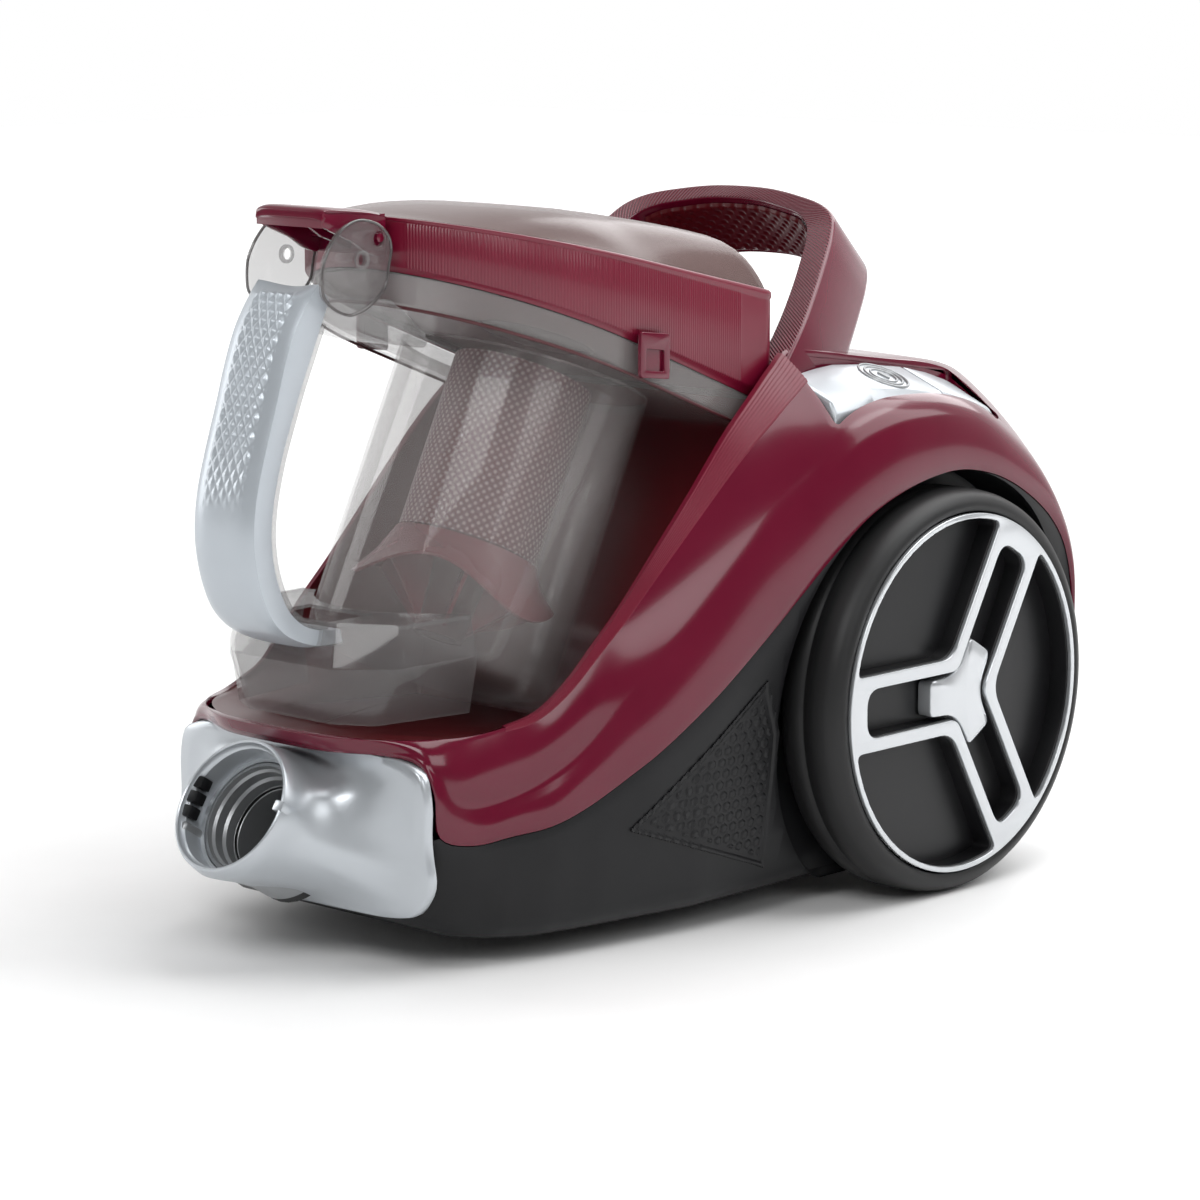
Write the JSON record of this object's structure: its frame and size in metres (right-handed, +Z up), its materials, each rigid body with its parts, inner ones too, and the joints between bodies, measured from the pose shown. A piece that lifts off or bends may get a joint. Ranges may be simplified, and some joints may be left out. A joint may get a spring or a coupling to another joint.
{
  "type": "cyclonic canister vacuum cleaner",
  "caption": "Bagless cylinder vacuum cleaner with a lift-off clear dust bin, large rear wheels, front hose socket and carry handle.",
  "frame": {"origin": "on the floor under the centre of the machine", "axes": "+Z up, -Y towards the hose inlet at the front, +X towards the left side of the machine"},
  "size_m": [0.31, 0.4769, 0.3465],
  "materials": {
    "burgundy": "moulded gloss",
    "dark_red": "moulded satin",
    "base_black": "fine texture",
    "tyre": "soft tread",
    "seal_rubber": "matt",
    "silver_plastic": "metallic satin paint",
    "clear_plastic": "clear moulding",
    "smoky_plastic": "tinted clear moulding",
    "rose_plastic": "tinted translucent moulding",
    "filter_foam": "open cell foam",
    "filter_paper": "pleated paper",
    "steel": "turned",
    "copper_winding": "enamelled windings",
    "white_plastic": "moulded",
    "board_green": "circuit board"
  },
  "bodies": {
    "machine": {"base_pan": "base_black", "inlet_socket": "base_black", "inlet_duct": "base_black", "air_duct": "base_black", "upper_shell": "burgundy", "carry_handle": "burgundy", "bin_cradle": "dark_red", "handle_grip_pad": "seal_rubber", "cord_outlet": "seal_rubber", "inlet_seal": "seal_rubber", "rail_trim_left": "burgundy", "rail_trim_right": "burgundy", "side_panel_left": "base_black", "side_panel_right": "base_black", "axle_stub_left": "steel", "axle_stub_right": "steel", "pedal_spring_left": "steel", "pedal_spring_right": "steel", "pedal_tail_left": "silver_plastic", "pedal_tail_right": "silver_plastic", "inlet_cover": "silver_plastic", "reel_shaft": "steel", "hepa_filter": "filter_paper", "motor_stator": "copper_winding", "motor_housing": "white_plastic", "control_board": "board_green"},
    "left_wheel": {"tyre_left": "tyre", "wheel_disc_left": "base_black", "wheel_trim_left": "silver_plastic", "hub_cap_left": "silver_plastic"},
    "right_wheel": {"tyre_right": "tyre", "wheel_disc_right": "base_black", "wheel_trim_right": "silver_plastic", "hub_cap_right": "silver_plastic"},
    "caster": {"caster_fork": "base_black", "caster_pin": "steel"},
    "caster_roller": {"caster_wheel": "tyre"},
    "bin": {"bin_tub": "clear_plastic", "bin_foot": "clear_plastic", "bin_handle": "silver_plastic", "handle_liner": "clear_plastic", "bin_bracket": "clear_plastic", "separator_mesh": "rose_plastic", "separator_skirt": "rose_plastic", "separator_cone": "rose_plastic"},
    "lid": {"lid_ring": "burgundy", "lid_dome": "smoky_plastic", "lid_floor": "rose_plastic", "bin_seal": "seal_rubber", "foam_filter": "filter_foam", "filter_frame": "rose_plastic"},
    "left_clip": {"lid_clip_left": "burgundy"},
    "right_clip": {"lid_clip_right": "burgundy"},
    "lever": {"release_lever": "burgundy"},
    "left_pedal": {"pedal_left": "silver_plastic"},
    "right_pedal": {"pedal_right": "silver_plastic"},
    "motor": {"motor_rotor": "steel", "motor_fan": "white_plastic"},
    "reel": {"reel_drum": "white_plastic"},
    "exhaust_door": {"exhaust_grille": "base_black"}
  },
  "joints": [
    {"name": "left_wheel_spin", "type": "hinge", "parent": "machine", "child": "left_wheel", "pos_m": [0.136, 0.123, 0.1], "axis": [1, 0, 0], "continuous": true},
    {"name": "right_wheel_spin", "type": "hinge", "parent": "machine", "child": "right_wheel", "pos_m": [-0.136, 0.123, 0.1], "axis": [1, 0, 0], "continuous": true},
    {"name": "caster_swivel", "type": "hinge", "parent": "machine", "child": "caster", "pos_m": [0, -0.07, 0.04], "axis": [0, 0, 1], "continuous": true},
    {"name": "caster_roll", "type": "hinge", "parent": "caster", "child": "caster_roller", "pos_m": [0, -0.061, 0.016], "axis": [1, 0, 0], "continuous": true},
    {"name": "bin_lift", "type": "slide", "parent": "machine", "child": "bin", "axis": [0, 0, 1], "range_m": [0, 0.2]},
    {"name": "lid_lift", "type": "slide", "parent": "bin", "child": "lid", "axis": [0, 0, 1], "range_m": [0, 0.16]},
    {"name": "left_clip_swing", "type": "hinge", "parent": "lid", "child": "left_clip", "pos_m": [0.0938, -0.038, 0.2855], "axis": [0, -1, 0], "range_deg": [0, 15], "stiffness_Nm_per_rad": 0.1, "springref_deg": -5.73},
    {"name": "right_clip_swing", "type": "hinge", "parent": "lid", "child": "right_clip", "pos_m": [-0.0938, -0.038, 0.2855], "axis": [0, 1, 0], "range_deg": [0, 15], "stiffness_Nm_per_rad": 0.1, "springref_deg": -5.73},
    {"name": "release_press", "type": "hinge", "parent": "bin", "child": "lever", "pos_m": [0, -0.146, 0.331], "axis": [1, 0, 0], "range_deg": [0, 7], "stiffness_Nm_per_rad": 0.5, "springref_deg": -11.46},
    {"name": "left_pedal_press", "type": "hinge", "parent": "machine", "child": "left_pedal", "pos_m": [0.112, 0.1395, 0.24], "axis": [1, 0, 0], "range_deg": [0, 2.5], "stiffness_Nm_per_rad": 8, "springref_deg": -1.72, "deforming": ["pedal_spring_left"]},
    {"name": "right_pedal_press", "type": "hinge", "parent": "machine", "child": "right_pedal", "pos_m": [-0.112, 0.1395, 0.24], "axis": [1, 0, 0], "range_deg": [0, 2.5], "stiffness_Nm_per_rad": 8, "springref_deg": -1.72, "deforming": ["pedal_spring_right"]},
    {"name": "motor_spin", "type": "hinge", "parent": "machine", "child": "motor", "pos_m": [-0.044, 0.08, 0.096], "axis": [0, 1, 0], "continuous": true},
    {"name": "reel_spin", "type": "hinge", "parent": "machine", "child": "reel", "pos_m": [0.058, 0.109, 0.1], "axis": [1, 0, 0], "continuous": true},
    {"name": "exhaust_door_swing", "type": "hinge", "parent": "machine", "child": "exhaust_door", "pos_m": [0, 0.2364, 0.0664], "axis": [1, 0, 0], "range_deg": [-80, 0]}
  ]
}
